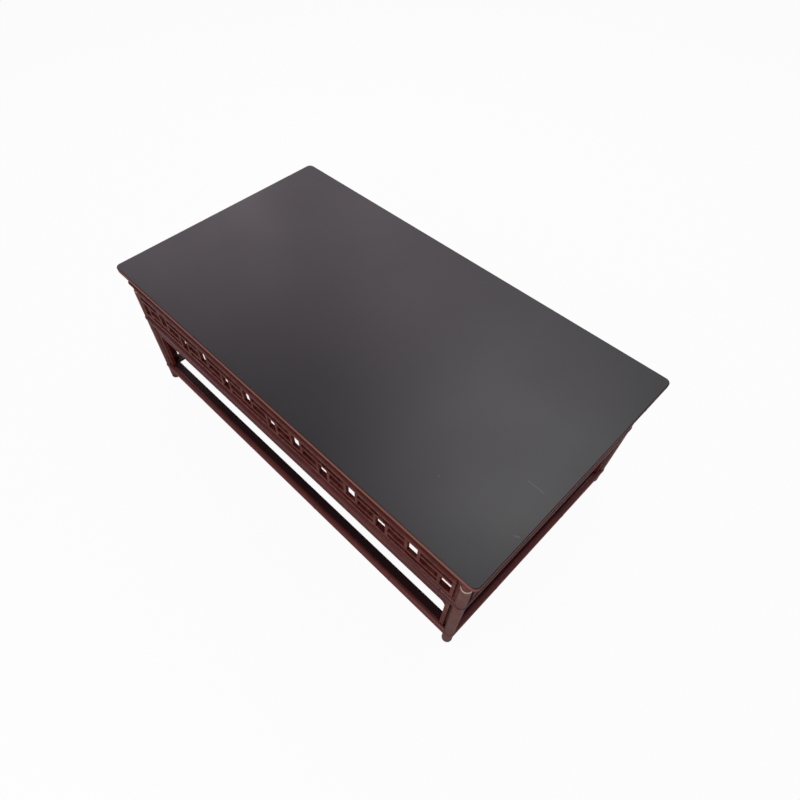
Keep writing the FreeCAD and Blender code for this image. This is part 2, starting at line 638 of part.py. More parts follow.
def check_document():
    """Stop if any object failed, or a finished piece is empty or not valid."""
    for item in doc.Objects:
        bad_states = [state for state in item.State if state in ("Invalid", "Error")]
        if bad_states:
            raise RuntimeError(f"{item.Label} failed: {bad_states}")
    for piece in nodes:
        if piece.Shape.isNull() or not piece.Shape.isValid() or not piece.Shape.Solids:
            raise RuntimeError(f"{piece.Label} has no valid solid")


def write_parts():
    os.makedirs("parts", exist_ok=True)
    for piece in nodes:
        piece.Shape.exportStep(f"parts/{piece.Label}.step")


make_top()
make_legs()
make_rails()
make_base_boards()
for side_name in SIDES:
    make_lattice(side_name)
    make_aprons(side_name)
doc.recompute()
check_document()
write_parts()
box_of_all = FreeCAD.BoundBox()
for finished in nodes:
    box_of_all.add(finished.Shape.BoundBox)
    print(f"{finished.Label}: {len(finished.Shape.Solids)} solids, {finished.Shape.Volume:.0f} mm3")
print(len(nodes), "nodes", box_of_all)
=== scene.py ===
"""Kang table in imitation bamboo, red-brown and black lacquer.

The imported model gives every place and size. The round members, the lattices, the aprons and the
top's frame are modelled here with softened edges; the flat boards, the panel and the battens keep
their own solids and get a finish.
"""
import math
from contextlib import contextmanager

import bmesh
import bpy
from bpy.props import FloatProperty, FloatVectorProperty, IntProperty, PointerProperty
from bpy.types import Operator, Panel, PropertyGroup
from mathutils import Matrix, Vector


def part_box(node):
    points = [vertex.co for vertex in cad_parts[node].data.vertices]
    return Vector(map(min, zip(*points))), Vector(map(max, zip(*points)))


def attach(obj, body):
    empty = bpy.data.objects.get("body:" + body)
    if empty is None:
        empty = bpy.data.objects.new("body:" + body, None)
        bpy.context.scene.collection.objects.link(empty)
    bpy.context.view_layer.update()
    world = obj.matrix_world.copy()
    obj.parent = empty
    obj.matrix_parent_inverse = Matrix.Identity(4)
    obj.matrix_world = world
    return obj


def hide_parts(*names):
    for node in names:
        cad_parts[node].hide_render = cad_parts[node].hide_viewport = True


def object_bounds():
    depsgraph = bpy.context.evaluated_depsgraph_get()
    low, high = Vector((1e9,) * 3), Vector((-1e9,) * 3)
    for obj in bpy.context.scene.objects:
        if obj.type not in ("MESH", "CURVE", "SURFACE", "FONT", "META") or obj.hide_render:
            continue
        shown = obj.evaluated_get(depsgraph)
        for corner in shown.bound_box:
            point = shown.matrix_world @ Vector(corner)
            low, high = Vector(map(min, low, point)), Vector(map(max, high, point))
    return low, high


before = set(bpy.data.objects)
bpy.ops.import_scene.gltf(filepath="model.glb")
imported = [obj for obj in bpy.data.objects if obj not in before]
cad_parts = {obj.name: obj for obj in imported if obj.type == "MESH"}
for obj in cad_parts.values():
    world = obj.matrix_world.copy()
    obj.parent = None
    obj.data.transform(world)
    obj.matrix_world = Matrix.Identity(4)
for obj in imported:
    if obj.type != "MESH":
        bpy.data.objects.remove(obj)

bl_info = {
    "name": "Kang Table",
    "version": (1, 0, 0),
    "blender": (4, 5, 0),
    "location": "3D View > Sidebar > Kang Table",
    "description": "Models the pieces, finishes and stage of a low lacquered table",
    "category": "Add Mesh",
}

cad_bounds = [list(corner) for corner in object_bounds()]

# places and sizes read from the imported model
LEG_LOW, LEG_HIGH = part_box("leg_front_right")
LEG_RADIUS = (LEG_HIGH[0] - LEG_LOW[0]) / 2
LEG_X = LEG_LOW[0] + LEG_RADIUS
LEG_Y = -(LEG_LOW[1] + LEG_RADIUS)
TOP_LOW, TOP_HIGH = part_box("top_frame_front")
HALF_LENGTH = cad_bounds[1][0]
HALF_WIDTH = cad_bounds[1][1]
TABLE_HEIGHT = TOP_HIGH[2]
TOP_UNDERSIDE = TOP_LOW[2]
TOP_THICKNESS = TABLE_HEIGHT - TOP_UNDERSIDE
FRAME_WIDTH = TOP_HIGH[1] - TOP_LOW[1]


def rail_from(node):
    """Radius, height of the centre line and its distance outside the legs' axes, of a front rail."""
    low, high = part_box(node)
    radius = (high[2] - low[2]) / 2
    return radius, low[2] + radius, -(low[1] + radius) - LEG_Y


EDGE_RADIUS, EDGE_HEIGHT, EDGE_OUT = rail_from("edge_rail_front")
MID_RADIUS, MID_HEIGHT, MID_OUT = rail_from("mid_rail_front")
BASE_RADIUS, BASE_HEIGHT, BASE_OUT = rail_from("base_rail_front")
SHORT_EDGE_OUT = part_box("edge_rail_right")[1][0] - EDGE_RADIUS - LEG_X
EDGE_STOP = LEG_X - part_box("edge_rail_front")[1][0]
LOWER_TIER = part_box("fret_front_bottom_rail")
UPPER_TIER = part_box("fret_front_top_rail")
FRET_LOW = LOWER_TIER[1][2]
FRET_HIGH = UPPER_TIER[0][2]
FRET_FACE = -LOWER_TIER[0][1] - LEG_Y
FRET_DEPTH = LOWER_TIER[1][1] - LOWER_TIER[0][1]
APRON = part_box("apron_front")
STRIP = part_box("apron_front_right_strip")

# side: turn about Z, half its span between the legs' axes, their distance from the middle, pitches
SIDES = {
    "front": (0, LEG_X, LEG_Y, 6),
    "right": (math.radians(90), LEG_Y, LEG_X, 3),
    "back": (math.radians(180), LEG_X, LEG_Y, 6),
    "left": (math.radians(270), LEG_Y, LEG_X, 3),
}

# how near two places must be to count as the same
TOUCH = 1e-5
# how squarely a face must point along an axis to count as facing it
SQUARE = 0.9
# edges sharper than the first angle are softened; faces that meet below the second shade smoothly
SHARP_ANGLE = math.radians(40)
SMOOTH_ANGLE = math.radians(35)
ORIGIN = (0.0, 0.0, 0.0)
# how many flat steps make up each rounding
SEAT_FACETS = 64
ARRIS_STEPS = 2
CORNER_STEPS = 14
TOP_ARRIS_STEPS = 4
BEAD_STEPS = 6
FOOT_STEPS = 6
WRAP_STEPS = 9
APRON_STEPS = 8
# a rail's end rings lie this share of a leg's radius short of the rail's end
END_RING_SHARE = 0.7
# a node's rings along a rail: place as a share of its width, and rise as a share of its lip
NODE_PROFILE = ((-0.5, 0), (-0.3, 1), (-0.1, 0.9), (0, -0.9), (0.1, 0.9), (0.3, 1), (0.5, 0))
# the most nodes to each side of a rail's first one
NODE_COUNT = 8


def length(name, description, default, low, high):
    """A size in metres with its least and greatest value."""
    return FloatProperty(
        name=name, description=description, default=default, min=low, max=high, unit="LENGTH")


def colour(name, description, default):
    """A colour with linear parts from 0 to 1."""
    return FloatVectorProperty(
        name=name, description=description, subtype="COLOR", size=3, min=0.0, max=1.0, default=default)


class KangTableSizes(PropertyGroup):
    arris: length("Arris", "Softened edge of the small square members", 0.0007, 0.0001, 0.002)
    arris_round: length("Top arris", "Rounding of the top's upper edge", 0.002, 0.0005, 0.006)
    bead_round: length("Top bead", "Rounding of the top's lower edge", 0.010, 0.001, 0.015)
    corner_radius: length("Corner radius", "Radius of the top's corners", 0.012, 0.011, 0.06)
    foot_round: length("Foot rounding", "Rounding of a leg's lower end", 0.003, 0.0005, 0.008)
    neck_step: length(
        "Neck step", "How much slimmer, all round, a leg is above the windows", 0.0015, 0.0005, 0.004)
    tenon_radius: length("Tenon radius", "Radius of the tenon on top of a leg", 0.005, 0.002, 0.009)
    stile_width: length("Stile width", "Width of a lattice's end stile", 0.007, 0.003, 0.02)
    post_width: length("Post width", "Width of a lattice's short posts", 0.007, 0.003, 0.02)
    window_width: length(
        "Window width", "Width of a lattice's window between two posts", 0.022, 0.01, 0.05)
    bar_height: length("Bar height", "Height of a lattice's running bars", 0.0075, 0.003, 0.02)
    slot_height: length(
        "Slot height", "Height of the slots above and below the bars", 0.010, 0.003, 0.03)
    bar_depth: length(
        "Bar depth", "Depth of a lattice's bars and posts, front to back", 0.007, 0.002, 0.010)
    fret_gap: length(
        "Lattice gap", "Gap between a lattice's end stile and the leg", 0.0035, 0.0, 0.01)
    fret_step: length(
        "Lattice step", "Setback of a lattice's rails behind their bead", 0.004, 0.001, 0.007)
    fret_bead: length(
        "Lattice bead", "Height of the raised bead along a lattice's rails", 0.0095, 0.003, 0.02)
    apron_round: length(
        "Apron rounding", "Radius of the corner between apron and side strip", 0.012, 0.004, 0.03)
    strip_gap: length("Strip gap", "Gap between a side strip and the leg", 0.0045, 0.001, 0.01)
    strip_step: length(
        "Strip step", "Setback of the thinner part that closes this gap from behind",
        0.004, 0.001, 0.007)
    ring_lip: length(
        "Node lip", "How far the lips of a bamboo-like node stand out of a rail",
        0.00035, 0.0, 0.002)
    ring_width: length(
        "Node width", "Width of a bamboo-like node along a rail", 0.0045, 0.001, 0.012)
    ring_count: IntProperty(
        name="Segments", description="Facets round a rail or a leg", default=40, min=12, max=96)


class KangTableColours(PropertyGroup):
    black: colour("Black lacquer", "Colour of the top's upper face", (0.0145, 0.0135, 0.0145))
    red_brown: colour(
        "Red-brown lacquer", "Main colour of the rails and lattices", (0.120, 0.021, 0.017))
    deep_brown: colour(
        "Deep brown", "Darker streaks of the red-brown lacquer", (0.056, 0.008, 0.009))
    worn_brown: colour(
        "Worn brown", "Edges where the lacquer is rubbed thin", (0.27, 0.088, 0.052))
    # painted highlight along the top's side
    edge_highlight_brown: colour(
        "Edge highlight", "Orange-brown painted highlight round the top's side", (0.31, 0.085, 0.036))
    leg_brown: colour("Leg brown", "Browner lacquer of the legs", (0.120, 0.043, 0.034))
    # painted shade, with some soiling, for recesses and joints
    shade_and_soiling: colour("Shade and soiling", "Dark painted shade and soiling in recesses and joints", (0.012, 0.004, 0.004))
    # painted highlight on the leg's shoulder below its neck
    shoulder_highlight: colour(
        "Shoulder highlight", "Painted highlight on the shoulder where a leg steps to its neck", (0.80, 0.60, 0.52))
    board: colour(
        "Board stain", "Colour of the boards inside the lowest rails", (0.023, 0.0052, 0.0065))
    floor: colour("Floor", "Colour of the plain floor", (0.82, 0.82, 0.82))


def sizes():
    return bpy.context.scene.kang_table_sizes


def colours():
    return bpy.context.scene.kang_table_colours


def only(piece):
    """Select one object and make it the active one."""
    bpy.ops.object.select_all(action="DESELECT")
    piece.select_set(True)
    bpy.context.view_layer.objects.active = piece


@contextmanager
def editing(piece):
    """Edit mode on one piece alone."""
    only(piece)
    bpy.ops.object.mode_set(mode="EDIT")
    yield
    bpy.ops.object.mode_set(mode="OBJECT")


def face_outwards():
    """In edit mode, turn every face of the piece outwards."""
    bpy.ops.mesh.select_all(action="SELECT")
    bpy.ops.mesh.normals_make_consistent(inside=False)


def add_block(low, high):
    """A block between two corners, with its place in its mesh."""
    centre = [(a + b) / 2 for a, b in zip(low, high)]
    extent = [b - a for a, b in zip(low, high)]
    bpy.ops.mesh.primitive_cube_add(size=1, location=centre, scale=extent)
    bpy.ops.object.transform_apply(location=True, rotation=True, scale=True)
    return bpy.context.object


def select_parts(piece, kind, test):
    """In edit mode, select just the faces or edges that pass the test."""
    bpy.ops.mesh.select_mode(type=kind)
    bpy.ops.mesh.select_all(action="DESELECT")
    mesh = bmesh.from_edit_mesh(piece.data)
    for part in mesh.faces if kind == "FACE" else mesh.edges:
        part.select_set(bool(test(part)))
    bmesh.update_edit_mesh(piece.data)


def select_faces(piece, test):
    """Select the faces whose centre and normal pass the test."""
    select_parts(piece, "FACE", lambda face: test(face.calc_center_median(), face.normal))


def select_edges(piece, test):
    """Select the edges whose two ends pass the test."""
    select_parts(piece, "EDGE", lambda edge: test(edge.verts[0].co, edge.verts[1].co))


def slice_at(piece, axis, place):
    """Cut new edges all round the piece where it meets a plane across an axis."""
    normal = Vector([float(letter == axis) for letter in "XYZ"])
    with editing(piece):
        bpy.ops.mesh.select_all(action="SELECT")
        bpy.ops.mesh.bisect(plane_co=normal * place, plane_no=normal)


def push_out(piece, test, offset):
    """Extrude the faces that pass the test by an offset."""
    with editing(piece):
        select_faces(piece, test)
        bpy.ops.mesh.extrude_region_move(TRANSFORM_OT_translate={"value": offset})


def draw_out(line, direction, stations):
    """In edit mode, draw a circle out along a line, ring by ring, by places and radii."""
    bpy.ops.mesh.select_all(action="SELECT")
    place, radius = stations[0]
    for next_place, next_radius in stations[1:]:
        bpy.ops.mesh.extrude_region_move(
            TRANSFORM_OT_translate={"value": direction * (next_place - place)})
        if next_radius != radius:
            ratio = next_radius / radius
            bpy.ops.transform.resize(
                value=[1 if part else ratio for part in direction],
                center_override=line + direction * next_place)
        place, radius = next_place, next_radius


def quarter_turn(steps):
    """Sine and cosine at even steps through a right angle."""
    angles = [math.pi / 2 * step / steps for step in range(1, steps + 1)]
    return [(math.sin(angle), math.cos(angle)) for angle in angles]


def soften(piece):
    """Round every sharp edge a little."""
    only(piece)
    bevel = piece.modifiers.new("Arris", "BEVEL")
    bevel.width = sizes().arris
    bevel.segments = ARRIS_STEPS
    bevel.limit_method = "ANGLE"
    bevel.angle_limit = SHARP_ANGLE
    bpy.ops.object.modifier_apply(modifier=bevel.name)


def take_away(piece, cutter):
    """Cut the cutter's volume out of the piece, and delete the cutter."""
    only(piece)
    seat = piece.modifiers.new("Seat", "BOOLEAN")
    seat.operation = "DIFFERENCE"
    seat.solver = "EXACT"
    seat.object = cutter
    bpy.ops.object.modifier_apply(modifier=seat.name)
    bpy.data.objects.remove(cutter)


def cut_seat(piece, start, direction, reach, radius):
    """Take a round seat out of the piece."""
    middle = Vector(start) + Vector(direction) * reach / 2
    turn = Vector((0, 0, 1)).rotation_difference(Vector(direction)).to_euler()
    bpy.ops.mesh.primitive_cylinder_add(
        vertices=SEAT_FACETS, radius=radius, depth=reach, location=middle, rotation=turn)
    take_away(piece, bpy.context.object)


def cope_to_rail(piece, span, distance, out, height, radius):
    """Hollow the piece where it meets a rail that runs along the same side."""
    cut_seat(piece, (-span, -(distance + out), height), (1, 0, 0), 2 * span, radius)


def notch_for_leg(piece, span, distance, sign, radius=LEG_RADIUS):
    """Hollow one end of the piece where it meets a leg."""
    cut_seat(piece, (sign * span, -distance, 0), (0, 0, 1), TABLE_HEIGHT, radius)


def edge_out(side):
    """How far an edge rail's centre line lies outside the legs' axes."""
    return EDGE_OUT if side in ("front", "back") else SHORT_EDGE_OUT


def joined(blocks):
    """Several blocks as one object."""
    only(blocks[0])
    for block in blocks:
        block.select_set(True)
    bpy.ops.object.join()
    return bpy.context.object


def copied(piece, name, offset=ORIGIN):
    """A copy with a mesh of its own, moved by an offset."""
    only(piece)
    bpy.ops.object.duplicate(linked=False)
    copy = bpy.context.object
    copy.name = name
    copy.location = offset
    bpy.ops.object.transform_apply(location=True, rotation=False, scale=False)
    return copy


def complete(piece, turn, material, node):
    """Turn a finished piece to its side, give it its finish and its body, and hide the imported node it
    stands for.
    """
    only(piece)
    piece.rotation_euler = (0, 0, turn)
    bpy.ops.object.transform_apply(location=True, rotation=True, scale=True)
    bpy.ops.object.shade_smooth_by_angle(angle=SMOOTH_ANGLE)
    steady = piece.modifiers.new("Flat faces stay flat", "WEIGHTED_NORMAL")
    steady.keep_sharp = True
    bpy.ops.object.modifier_apply(modifier=steady.name)
    piece.data.materials.clear()
    piece.data.materials.append(material)
    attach(piece, "root")
    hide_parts(node)


def refinished(node, material):
    """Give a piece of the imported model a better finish."""
    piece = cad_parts[node]
    piece.data.materials.clear()
    piece.data.materials.append(material)


def feed(tree, socket, value):
    """Link a socket, or set its value."""
    if isinstance(value, bpy.types.NodeSocket):
        tree.links.new(value, socket)
    else:
        socket.default_value = value


def add_node(tree, kind, inputs=None, **settings):
    """A node with its settings and its inputs' values or links."""
    node = tree.nodes.new(kind)
    for name, value in settings.items():
        setattr(node, name, value)
    for name, value in (inputs or {}).items():
        feed(tree, node.inputs[name], value)
    return node


def ramp(tree, value, start, stop, low=0.0, high=1.0):
    """A value's stretch from start to stop, mapped to low to high and held beyond its ends."""
    node = add_node(
        tree, "ShaderNodeMapRange",
        {"Value": value, "From Min": start, "From Max": stop, "To Min": low, "To Max": high}, clamp=True)
    return node.outputs["Result"]


def maths(tree, operation, *values, **settings):
    """The result of a maths node."""
    node = add_node(tree, "ShaderNodeMath", dict(enumerate(values)), operation=operation, **settings)
    return node.outputs["Value"]


def vector_maths(tree, operation, *values):
    """The result of a vector maths node: a number for a dot product or distance, else a vector."""
    node = add_node(tree, "ShaderNodeVectorMath", dict(enumerate(values)), operation=operation)
    return node.outputs["Value" if operation in ("DOT_PRODUCT", "DISTANCE") else "Vector"]


def noise(tree, place, scale, detail, roughness):
    """The grey value of a noise texture."""
    node = add_node(
        tree, "ShaderNodeTexNoise",
        {"Vector": place, "Scale": scale, "Detail": detail, "Roughness": roughness})
    return node.outputs["Fac"]


def use_group(tree, name, **values):
    """The outputs of a shared group, with its inputs by name."""
    return add_node(tree, "ShaderNodeGroup", values, node_tree=bpy.data.node_groups[name]).outputs


def height_of(tree, place):
    """A place's height above the floor."""
    return add_node(tree, "ShaderNodeSeparateXYZ", {"Vector": place}).outputs["Z"]


def new_group(name, inputs, outputs):
    """An empty node group with the default value of each input, and its inner sockets."""
    group = bpy.data.node_groups.new(name, "ShaderNodeTree")
    for label, value in inputs.items():
        kind = "NodeSocketFloat" if isinstance(value, float) else "NodeSocketVector"
        socket = group.interface.new_socket(name=label, in_out="INPUT", socket_type=kind)
        socket.default_value = value
    for label in outputs:
        group.interface.new_socket(name=label, in_out="OUTPUT", socket_type="NodeSocketFloat")
    return group, group.nodes.new("NodeGroupInput").outputs, group.nodes.new("NodeGroupOutput").inputs


def streak_group():
    """Long streaks along a member's grain: a mask, a fine mask and a height."""
    group, given, result = new_group(
        "Lacquer streaks", {"Vector": ORIGIN, "Stretch": (60.0, 60.0, 60.0), "Contrast": 0.5},
        ["Streaks", "Mottle", "Height"])
    stretched = vector_maths(group, "MULTIPLY", given["Vector"], given["Stretch"])
    streak = noise(group, stretched, scale=1.0, detail=5.0, roughness=0.6)
    spread = ramp(group, streak, start=0.35, stop=0.68)
    feed(group, result["Streaks"], maths(group, "MULTIPLY", spread, given["Contrast"]))
    feed(group, result["Mottle"], noise(group, given["Vector"], scale=38.0, detail=3.0, roughness=0.55))
    feed(group, result["Height"], streak)


def wear_group():
    """Rubbed edges and corners, broken up by a fine noise."""
    group, given, result = new_group(
        "Edge wear", {"Vector": ORIGIN, "Amount": 0.5, "Start": 0.52, "Full": 0.6}, ["Wear"])
    shape = add_node(group, "ShaderNodeNewGeometry")
    edge = ramp(group, shape.outputs["Pointiness"], given["Start"], given["Full"])
    patchy = noise(group, given["Vector"], scale=85.0, detail=4.0, roughness=0.65)
    worn = maths(group, "MULTIPLY", edge, ramp(group, patchy, start=0.4, stop=0.62))
    feed(group, result["Wear"], maths(group, "MULTIPLY", worn, given["Amount"]))


def shade_and_soiling_group():
    """Darkening of recesses and joints by ambient occlusion: painted shade, with some soiling."""
    group, given, result = new_group("Recess shade and soiling", {"Reach": 0.008, "Amount": 0.8}, ["Shade and soiling"])
    hollow = add_node(group, "ShaderNodeAmbientOcclusion", {"Distance": given["Reach"]}, samples=8)
    deep = ramp(group, hollow.outputs["AO"], start=0.35, stop=0.9, low=1.0, high=0.0)
    feed(group, result["Shade and soiling"], maths(group, "MULTIPLY", deep, given["Amount"]))


def scratch_group():
    """A fine straight mark between two points of the top."""
    group, given, result = new_group(
        "Fine scratch", {"Vector": ORIGIN, "Start": ORIGIN, "End": ORIGIN, "Width": 0.001}, ["Mark"])
    run = vector_maths(group, "SUBTRACT", given["End"], given["Start"])
    away = vector_maths(group, "SUBTRACT", given["Vector"], given["Start"])
    along = vector_maths(group, "DOT_PRODUCT", away, run)
    whole = vector_maths(group, "DOT_PRODUCT", run, run)
    share = maths(group, "DIVIDE", along, whole, use_clamp=True)
    reached = add_node(group, "ShaderNodeVectorMath", {0: run, "Scale": share}, operation="SCALE")
    apart = vector_maths(group, "DISTANCE", away, reached.outputs["Vector"])
    feed(group, result["Mark"], ramp(group, apart, 0.0, given["Width"], low=1.0, high=0.0))


def bare_tree(owner, kind="ShaderNodeOutputMaterial"):
    """The emptied node tree of a material or world, and its output's surface socket."""
    owner.use_nodes = True
    tree = owner.node_tree
    tree.nodes.clear()
    return tree, tree.nodes.new(kind).inputs["Surface"]


def new_material(name):
    """The tree of a new material, its surface shader and its object coordinates."""
    tree, output = bare_tree(bpy.data.materials.new(name))
    shader = tree.nodes.new("ShaderNodeBsdfPrincipled")
    feed(tree, output, shader.outputs["BSDF"])
    return tree, shader, tree.nodes.new("ShaderNodeTexCoord").outputs["Object"]


def mixed(tree, factor, first, second):
    """The colour between two, by a factor socket."""
    # by number, because the sockets for other kinds of values share their names
    mix = add_node(tree, "ShaderNodeMix", data_type="RGBA", clamp_factor=True)
    for socket, value in ((mix.inputs[0], factor), (mix.inputs[6], first), (mix.inputs[7], second)):
        feed(tree, socket, value)
    return mix.outputs[2]


def opaque(tone, *shares):
    """A colour with full alpha, multiplied by one share for all its parts or one for each."""
    shares = (shares or (1.0,)) * 3
    return (*(value * share for value, share in zip(tone, shares)), 1.0)


def surface(tree, shader, height, strength, distance, values):
    """Give the shader a fine relief and its other values by socket name."""
    bump = add_node(
        tree, "ShaderNodeBump", {"Height": height, "Strength": strength, "Distance": distance})
    for name, value in {**values, "Normal": bump.outputs["Normal"]}.items():
        feed(tree, shader.inputs[name], value)


# how fine the streaks run along and across each grain
GRAIN = {"x": (5.0, 150.0, 150.0), "y": (150.0, 5.0, 150.0), "z": (150.0, 150.0, 5.0)}
# how strongly thinly lacquered wood and thick lacquer bend light
WOOD_IOR, LACQUER_IOR = 1.36, 1.47
# half the height of the painted highlight on a leg's shoulder, and how far it fades
RIM_HALF, RIM_FADE = 0.0004, 0.0003
# the black of the top laps over its arris: where it starts to fade, and where it has gone
BLACK_FADES, BLACK_ENDS = TABLE_HEIGHT - 0.0006, TABLE_HEIGHT - 0.0012
# height of the orange-brown line on the top's side, a painted highlight just below its arris, half its
# height, and how far it fades
LINE_HEIGHT, LINE_HALF, LINE_FADE = TABLE_HEIGHT - 0.0045, 0.0028, 0.001
# how fully this line covers the side, how dark the side is, and how much duller than the black
LINE_SHARE, SIDE_SHARE, SIDE_DULLNESS = 0.85, 0.6, 0.24
# fine marks on the top: ends on its upper face, width and colour
SCRATCHES = (
    ((0.441, -0.076), (0.473, -0.077), 0.0011, (0.075, 0.07, 0.07)),
    ((0.484, -0.169), (0.491, -0.165), 0.0022, (0.06, 0.055, 0.055)),
    ((0.332, -0.172), (0.335, -0.172), 0.0016, (0.05, 0.045, 0.045)),
)


def band_mask(tree, place, level, reach, fade):
    """One within a reach above or below a level, fading out over a little more."""
    away = maths(tree, "SUBTRACT", height_of(tree, place), level)
    return ramp(tree, maths(tree, "ABSOLUTE", away), reach, reach + fade, low=1.0, high=0.0)


def lacquered_wood(
        name, axis, main, deep, roughness=0.36, wear=0.8, coat=0.06, gleam=0.4, leg=False):
    """Thin red-brown lacquer over wood, streaked along one axis and rubbed at its edges."""
    tree, shader, place = new_material(name)
    tones = colours()
    streaks = use_group(tree, "Lacquer streaks", Vector=place, Stretch=GRAIN[axis], Contrast=0.7)
    rubbed = use_group(tree, "Edge wear", Vector=place, Amount=wear)["Wear"]
    # painted shade, with some soiling: an ambient occlusion mask darkens hollows and joints
    shade_and_soiling_mask = use_group(tree, "Recess shade and soiling", Reach=0.007, Amount=0.9)["Shade and soiling"]
    patches = ramp(tree, streaks["Mottle"], start=0.5, stop=0.75, high=0.18)
    tone = mixed(tree, streaks["Streaks"], main, deep)
    tone = mixed(tree, patches, tone, opaque(tones.worn_brown))
    tone = mixed(tree, rubbed, tone, opaque(tones.worn_brown))
    tone = mixed(tree, shade_and_soiling_mask, tone, opaque(tones.shade_and_soiling))
    if leg:
        # painted highlight: a bright band round the leg's shoulder where it steps to its neck
        rim = band_mask(tree, place, FRET_HIGH, RIM_HALF, RIM_FADE)
        tone = mixed(tree, rim, tone, opaque(tones.shoulder_highlight))
        neck = ramp(
            tree, height_of(tree, place), start=FRET_HIGH + RIM_HALF, stop=FRET_HIGH + 2 * RIM_HALF)
        tone = mixed(tree, neck, tone, opaque(tones.red_brown))
    gloss = ramp(
        tree, streaks["Mottle"], start=0.3, stop=0.7, low=roughness - 0.06, high=roughness + 0.10)
    surface(tree, shader, streaks["Height"], strength=0.25, distance=0.0002, values={
        "Base Color": tone, "Roughness": gloss, "IOR": WOOD_IOR, "Specular IOR Level": gleam,
        "Coat Weight": coat, "Coat Roughness": 0.18})


def black_lacquer(name, red_side=False):
    """Satin black lacquer with faint clouding, red-brown below the upper arris where it is asked."""
    tree, shader, place = new_material(name)
    tones = colours()
    cloud = noise(tree, place, scale=5.5, detail=3.0, roughness=0.5)
    fine = noise(tree, place, scale=420.0, detail=2.0, roughness=0.6)
    tone = mixed(tree, cloud, opaque(tones.black, 0.9), opaque(tones.black, 1.12, 1.06, 1.14))
    rough = ramp(tree, cloud, start=0.3, stop=0.7, low=0.36, high=0.42)
    for start, end, width, mark_tone in SCRATCHES:
        mark = use_group(
            tree, "Fine scratch", Vector=place, Start=(*start, TABLE_HEIGHT),
            End=(*end, TABLE_HEIGHT), Width=width)
        tone = mixed(tree, mark["Mark"], tone, opaque(mark_tone))
    if red_side:
        level = ramp(tree, height_of(tree, place), start=BLACK_ENDS, stop=BLACK_FADES)
        streaks = use_group(
            tree, "Lacquer streaks", Vector=place, Stretch=(30.0, 30.0, 150.0), Contrast=0.5)
        side = mixed(
            tree, streaks["Streaks"], opaque(tones.red_brown, SIDE_SHARE),
            opaque(tones.deep_brown, SIDE_SHARE))
        # painted highlight: an orange-brown line along the top's side, just below the arris
        line = band_mask(tree, place, LINE_HEIGHT, LINE_HALF, LINE_FADE)
        side = mixed(tree, maths(tree, "MULTIPLY", line, LINE_SHARE), side, opaque(tones.edge_highlight_brown))
        tone = mixed(tree, level, side, tone)
        duller = ramp(tree, level, 0.0, 1.0, low=SIDE_DULLNESS, high=0.0)
        rough = maths(tree, "ADD", rough, duller)
    surface(tree, shader, fine, strength=0.08, distance=0.0001, values={
        "Base Color": tone, "Roughness": rough, "IOR": LACQUER_IOR})


def dull_board(name, axis, share=1.0):
    """Dark, dull stained board with a faint grain, its stain made lighter by a share."""
    tree, shader, place = new_material(name)
    tones = colours()
    streaks = use_group(tree, "Lacquer streaks", Vector=place, Stretch=GRAIN[axis], Contrast=0.6)
    # painted shade, with some soiling: an ambient occlusion mask darkens hollows and joints
    shade_and_soiling_mask = use_group(tree, "Recess shade and soiling", Reach=0.01, Amount=0.8)["Shade and soiling"]
    tone = mixed(
        tree, streaks["Streaks"], opaque(tones.board, share), opaque(tones.board, share * 0.55))
    tone = mixed(tree, shade_and_soiling_mask, tone, opaque(tones.shade_and_soiling))
    gloss = ramp(tree, streaks["Mottle"], 0.0, 1.0, low=0.5, high=0.7)
    surface(tree, shader, streaks["Height"], strength=0.3, distance=0.0003, values={
        "Base Color": tone, "Roughness": gloss, "IOR": WOOD_IOR})


def make_finishes():
    """Every group and finish of the table."""
    tones = colours()
    streak_group()
    wear_group()
    shade_and_soiling_group()
    scratch_group()
    black_lacquer("black_lacquer")
    black_lacquer("black_over_red_lacquer", red_side=True)
    lacquered_wood(
        "leg_lacquer", "z", opaque(tones.leg_brown), opaque(tones.leg_brown, 0.6),
        roughness=0.42, coat=0.0, gleam=0.3, leg=True)
    dull_board("dark_board_x", "x")
    dull_board("dark_board_y", "y")
    dull_board("hidden_batten", "y", share=3)
    deep = opaque(tones.deep_brown)
    for name, axes, light, dark, gloss in (
        ("red_brown_lacquer", "xy", opaque(tones.red_brown), deep, {}),
        # painted light and sheen: a lighter, greyer copy of the red-brown lacquer for the lowest rails
        ("low_rail_lit_lacquer", "xy",
         opaque(tones.red_brown, 1.3, 1.8, 1.8), opaque(tones.deep_brown, 1.6), {}),
        # painted shade: a darker copy of the red-brown lacquer for the rails under the top
        ("edge_rail_shaded_lacquer", "xy", opaque(tones.red_brown, 0.62), deep,
         {"roughness": 0.42, "wear": 0.5, "coat": 0.0, "gleam": 0.1}),
        ("lattice_lacquer", "xyz", opaque(tones.red_brown, 0.86), deep,
         {"roughness": 0.42, "wear": 0.6, "coat": 0.0, "gleam": 0.14}),
    ):
        for axis in axes:
            lacquered_wood(f"{name}_{axis}", axis, light, dark, **gloss)


def finish(name):
    """A finish by its name; the first call makes them all."""
    if name not in bpy.data.materials:
        make_finishes()
    return bpy.data.materials[name]


def grained(name, side):
    """A finish whose grain runs along a side of the table."""
    return finish(name + ("_x" if side in ("front", "back") else "_y"))


